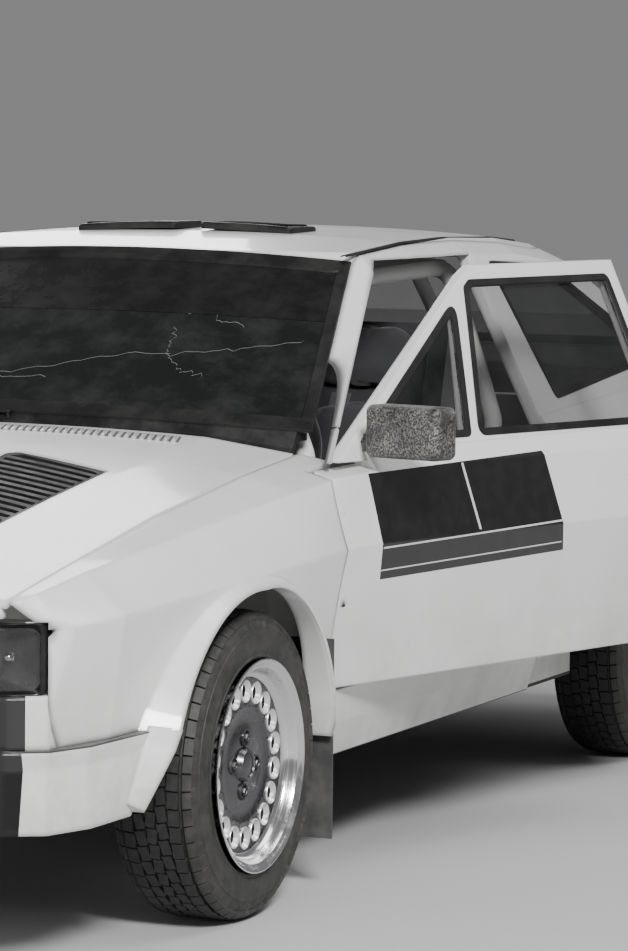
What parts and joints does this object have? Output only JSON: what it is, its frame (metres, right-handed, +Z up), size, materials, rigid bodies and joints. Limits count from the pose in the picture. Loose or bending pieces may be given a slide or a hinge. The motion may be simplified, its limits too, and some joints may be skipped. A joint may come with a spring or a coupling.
{
  "type": "two-door rally car",
  "caption": "Two-door rally saloon on gravel tyres, with opening doors, bonnet and boot lid, a roll cage, bucket seats and wheels that roll and steer.",
  "frame": {"origin": "on the ground, on the car's centre plane, half way between the axles", "axes": "+X forward, +Y to the car's left, +Z up"},
  "size_m": [4.412, 2.2094, 1.374],
  "materials": {
    "white_paint": "gloss, with dust on the lower half",
    "black_plastic": "matt",
    "black_paint": "satin",
    "clear_glass": "clear",
    "lamp_glass": "clear over a bright reflector",
    "red_lens": "gloss",
    "tyre_rubber": "matt, dusty",
    "flap_rubber": "matt",
    "bright_alloy": "polished with brushed centre",
    "bare_steel": "dull",
    "cast_metal": "rough cast",
    "white_tube": "gloss",
    "seat_fabric": "woven"
  },
  "bodies": {
    "chassis": {"floor_pan": "white_paint", "bulkhead": "white_paint", "front_wings": "white_paint", "windscreen_pillars": "white_paint", "roof_panel": "white_paint", "rear_quarters": "white_paint", "rear_cowl": "white_paint", "rear_panel": "white_paint", "tail_lamps": "red_lens", "rear_bumper": "white_paint", "windscreen": "clear_glass", "rear_window": "clear_glass", "quarter_windows": "clear_glass", "scuttle": "black_plastic", "front_bumper": "white_paint", "bumper_intake": "black_plastic", "nose_panel": "black_plastic", "headlamps": "lamp_glass", "grille": "black_plastic", "mud_flaps": "flap_rubber", "dashboard": "black_plastic", "seats": "seat_fabric", "roll_cage": "white_tube", "engine_block": "cast_metal", "driveline": "cast_metal", "front_subframe": "black_paint", "rear_subframe": "black_paint", "rear_knuckles": "cast_metal", "exhaust": "bare_steel", "roof_vents": "black_plastic", "wiper": "black_paint"},
    "left_door": {"left_door": "white_paint", "left_door_glass": "clear_glass", "left_mirror": "black_plastic"},
    "right_door": {"right_door": "white_paint", "right_door_glass": "clear_glass", "right_mirror": "black_plastic"},
    "bonnet": {"bonnet": "white_paint", "bonnet_vents": "black_plastic"},
    "boot_lid": {"boot_lid": "white_paint", "boot_spoiler": "flap_rubber"},
    "left_knuckle": {"left_knuckle": "cast_metal"},
    "right_knuckle": {"right_knuckle": "cast_metal"},
    "steering_wheel": {"steering_wheel": "black_plastic"},
    "front_left_wheel": {"front_left_tyre": "tyre_rubber", "front_left_rim": "bright_alloy"},
    "front_right_wheel": {"front_right_tyre": "tyre_rubber", "front_right_rim": "bright_alloy"},
    "rear_left_wheel": {"rear_left_tyre": "tyre_rubber", "rear_left_rim": "bright_alloy"},
    "rear_right_wheel": {"rear_right_tyre": "tyre_rubber", "rear_right_rim": "bright_alloy"}
  },
  "joints": [
    {"name": "left_steer", "type": "hinge", "parent": "chassis", "child": "left_knuckle", "pos_m": [1.262, 0.672, 0.2], "axis": [0, -0.1673, 0.9859], "range_deg": [-28, 28]},
    {"name": "right_steer", "type": "hinge", "parent": "chassis", "child": "right_knuckle", "pos_m": [1.262, -0.672, 0.2], "axis": [0, 0.1673, 0.9859], "range_deg": [-28, 28]},
    {"name": "steering_wheel_turn", "type": "hinge", "parent": "chassis", "child": "steering_wheel", "pos_m": [0.324, 0.37, 0.906], "axis": [-0.9063, 0, 0.4226], "range_deg": [-448, 448]},
    {"name": "left_door_hinge", "type": "hinge", "parent": "chassis", "child": "left_door", "pos_m": [0.81, 0.812, 0.6], "axis": [0, 0, -1], "range_deg": [-15.6, 44.4]},
    {"name": "right_door_hinge", "type": "hinge", "parent": "chassis", "child": "right_door", "pos_m": [0.81, -0.812, 0.6], "axis": [0, 0, 1], "range_deg": [0, 60]},
    {"name": "bonnet_hinge", "type": "hinge", "parent": "chassis", "child": "bonnet", "pos_m": [0.688, 0, 0.914], "axis": [0, -1, 0], "range_deg": [0, 45]},
    {"name": "boot_hinge", "type": "hinge", "parent": "chassis", "child": "boot_lid", "pos_m": [-1.856, 0, 0.974], "axis": [0, 1, 0], "range_deg": [0, 60]},
    {"name": "front_left_axle", "type": "hinge", "parent": "left_knuckle", "child": "front_left_wheel", "pos_m": [1.262, 0.742, 0.312], "axis": [0, 1, 0], "continuous": true},
    {"name": "front_right_axle", "type": "hinge", "parent": "right_knuckle", "child": "front_right_wheel", "pos_m": [1.262, -0.742, 0.312], "axis": [0, 1, 0], "continuous": true},
    {"name": "rear_left_axle", "type": "hinge", "parent": "chassis", "child": "rear_left_wheel", "pos_m": [-1.262, 0.742, 0.312], "axis": [0, 1, 0], "continuous": true},
    {"name": "rear_right_axle", "type": "hinge", "parent": "chassis", "child": "rear_right_wheel", "pos_m": [-1.262, -0.742, 0.312], "axis": [0, 1, 0], "continuous": true}
  ],
  "couplings": [
    {"joint": "right_steer", "follows": "left_steer", "ratio": 1},
    {"joint": "steering_wheel_turn", "follows": "left_steer", "ratio": 16}
  ]
}
